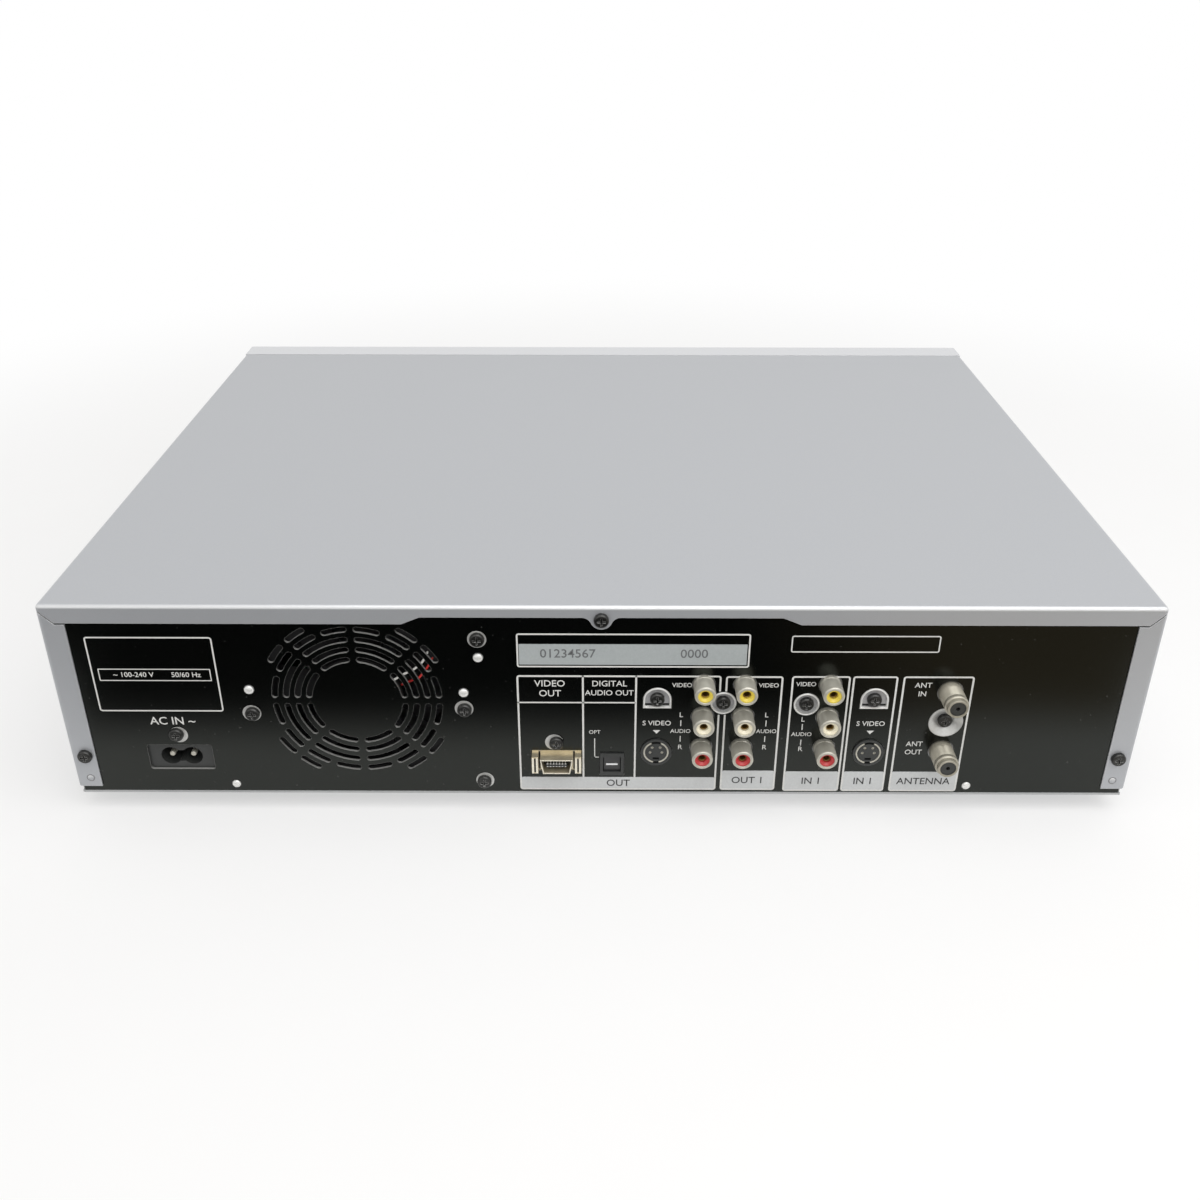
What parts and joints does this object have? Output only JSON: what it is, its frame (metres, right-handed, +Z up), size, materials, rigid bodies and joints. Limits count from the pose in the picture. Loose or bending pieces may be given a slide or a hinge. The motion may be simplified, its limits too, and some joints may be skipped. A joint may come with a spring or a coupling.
{
  "type": "dvd recorder",
  "caption": "Full-width disc and cassette recorder with a folded silver cover, black socket panel, cooling grille, sliding disc tray, cassette flap and working front controls.",
  "frame": {"origin": "under the middle of the whole recorder, on the surface its feet stand on", "axes": "+Z up, the front panel faces -Y, the socket panel faces +Y, +X to the right seen from the front"},
  "size_m": [0.43, 0.3484, 0.097],
  "materials": {
    "cover_paint": "satin metallic silver paint",
    "panel_paint": "semi-gloss black paint",
    "zinc_sheet": "zinc plated sheet",
    "front_silver": "satin silver",
    "black_plastic": "moulded black",
    "fan_plastic": "moulded black",
    "screw_black": "black oxide",
    "nickel": "nickel plated",
    "gold": "flash gold plated",
    "yellow_plastic": "moulded yellow",
    "white_plastic": "moulded white",
    "red_plastic": "moulded red",
    "grey_plastic": "moulded dark grey",
    "board_green": "solder resist",
    "ferrite": "ferrite and copper",
    "can_sleeve": "shrink sleeve",
    "window": "smoked window",
    "nylon": "natural nylon",
    "drum_metal": "turned"
  },
  "bodies": {
    "casing": {"top_cover": "cover_paint", "chassis_pan": "zinc_sheet", "rear_panel": "panel_paint", "front_panel": "front_silver", "feet": "black_plastic", "screws": "screw_black", "ac_inlet": "black_plastic", "ac_inlet_pins": "nickel", "fan_bracket": "zinc_sheet", "fan_frame": "fan_plastic", "partition_bracket": "zinc_sheet", "d_terminal_shell": "gold", "d_terminal_body": "black_plastic", "optical_jack": "black_plastic", "s_video_out_socket": "black_plastic", "s_video_in_socket": "black_plastic", "s_video_shells": "nickel", "s_video_brackets": "zinc_sheet", "rca_blocks": "black_plastic", "rca_plates": "zinc_sheet", "rca_shells": "nickel", "right_inserts": "red_plastic", "left_inserts": "white_plastic", "video_inserts": "yellow_plastic", "antenna_module": "zinc_sheet", "antenna_barrels": "nickel", "antenna_insulators": "grey_plastic", "main_board": "board_green", "power_board": "board_green", "transformer": "ferrite", "capacitors": "can_sleeve", "display_window": "window", "front_jacks": "nickel", "front_board": "board_green", "drive_case": "zinc_sheet", "drive_stands": "zinc_sheet", "loader_frame": "black_plastic", "traverse_base": "zinc_sheet", "deck_plate": "zinc_sheet", "drum_base": "drum_metal"},
    "fan": {"fan_rotor": "fan_plastic"},
    "shutter": {"optical_shutter": "grey_plastic"},
    "flap": {"cassette_flap": "front_silver"},
    "door": {"jack_door": "front_silver"},
    "tray": {"disc_tray": "grey_plastic", "tray_bezel": "front_silver"},
    "gear": {"loading_gear": "nylon"},
    "spindle": {"turntable": "black_plastic"},
    "sled": {"pickup_sled": "grey_plastic"},
    "holder": {"cassette_holder": "zinc_sheet"},
    "drum": {"head_drum": "drum_metal"},
    "capstan": {"capstan": "drum_metal"},
    "supply": {"supply_reel": "nylon"},
    "take_up": {"take_up_reel": "nylon"},
    "record_key": {"record_button": "grey_plastic"},
    "play_key": {"play_button": "grey_plastic"},
    "stop_key": {"stop_button": "grey_plastic"},
    "eject_key": {"eject_button": "grey_plastic"},
    "tray_key": {"tray_button": "grey_plastic"},
    "power_key": {"power_button": "grey_plastic"}
  },
  "joints": [
    {"name": "fan_spin", "type": "hinge", "parent": "casing", "child": "fan", "pos_m": [0.0964, 0.15995, 0.0538], "axis": [0, 1, 0], "continuous": true},
    {"name": "shutter_hinge", "type": "hinge", "parent": "casing", "child": "shutter", "pos_m": [-0.0044, 0.16135, 0.0266], "axis": [-1, 0, 0], "range_deg": [0, 80], "stiffness_Nm_per_rad": 0.0005},
    {"name": "flap_hinge", "type": "hinge", "parent": "casing", "child": "flap", "pos_m": [-0.08797, -0.17195, 0.0849], "axis": [1, 0, 0], "range_deg": [0, 85], "stiffness_Nm_per_rad": 0.005},
    {"name": "door_hinge", "type": "hinge", "parent": "casing", "child": "door", "pos_m": [-0.11997, -0.17195, 0.0225], "axis": [1, 0, 0], "range_deg": [0, 90]},
    {"name": "tray_slide", "type": "slide", "parent": "casing", "child": "tray", "axis": [0, -1, 0], "range_m": [0, 0.138]},
    {"name": "gear_spin", "type": "hinge", "parent": "casing", "child": "gear", "pos_m": [0.07198, -0.12435, 0.0645], "axis": [0, 0, 1], "range_deg": [0, 680]},
    {"name": "turntable_spin", "type": "hinge", "parent": "casing", "child": "spindle", "pos_m": [0.10998, -0.09935, 0.0555], "axis": [0, 0, 1], "continuous": true},
    {"name": "pickup_slide", "type": "slide", "parent": "casing", "child": "sled", "axis": [0, 1, 0], "range_m": [0, 0.036]},
    {"name": "holder_slide", "type": "slide", "parent": "casing", "child": "holder", "axis": [0, 1, 0], "range_m": [0, 0.06]},
    {"name": "drum_spin", "type": "hinge", "parent": "casing", "child": "drum", "pos_m": [-0.08797, 0.06665, 0.0422], "axis": [0, -0.1045, 0.9945], "continuous": true},
    {"name": "capstan_spin", "type": "hinge", "parent": "casing", "child": "capstan", "pos_m": [-0.04797, 0.03865, 0.034], "axis": [0, 0, 1], "continuous": true},
    {"name": "supply_spin", "type": "hinge", "parent": "casing", "child": "supply", "pos_m": [-0.13397, -0.01335, 0.0352], "axis": [0, 0, 1], "continuous": true},
    {"name": "take_up_spin", "type": "hinge", "parent": "casing", "child": "take_up", "pos_m": [-0.04197, -0.01335, 0.0352], "axis": [0, 0, 1], "continuous": true},
    {"name": "record_key_press", "type": "slide", "parent": "casing", "child": "record_key", "axis": [0, 1, 0], "range_m": [0, 0.0008], "stiffness_N_per_m": 150},
    {"name": "play_key_press", "type": "slide", "parent": "casing", "child": "play_key", "axis": [0, 1, 0], "range_m": [0, 0.0008], "stiffness_N_per_m": 150},
    {"name": "stop_key_press", "type": "slide", "parent": "casing", "child": "stop_key", "axis": [0, 1, 0], "range_m": [0, 0.0008], "stiffness_N_per_m": 150},
    {"name": "eject_key_press", "type": "slide", "parent": "casing", "child": "eject_key", "axis": [0, 1, 0], "range_m": [0, 0.0008], "stiffness_N_per_m": 150},
    {"name": "tray_key_press", "type": "slide", "parent": "casing", "child": "tray_key", "axis": [0, 1, 0], "range_m": [0, 0.0008], "stiffness_N_per_m": 150},
    {"name": "power_key_press", "type": "slide", "parent": "casing", "child": "power_key", "axis": [0, 1, 0], "range_m": [0, 0.0008], "stiffness_N_per_m": 150}
  ],
  "couplings": [
    {"joint": "gear_spin", "follows": "tray_slide", "rad_per_m": 83.333}
  ]
}
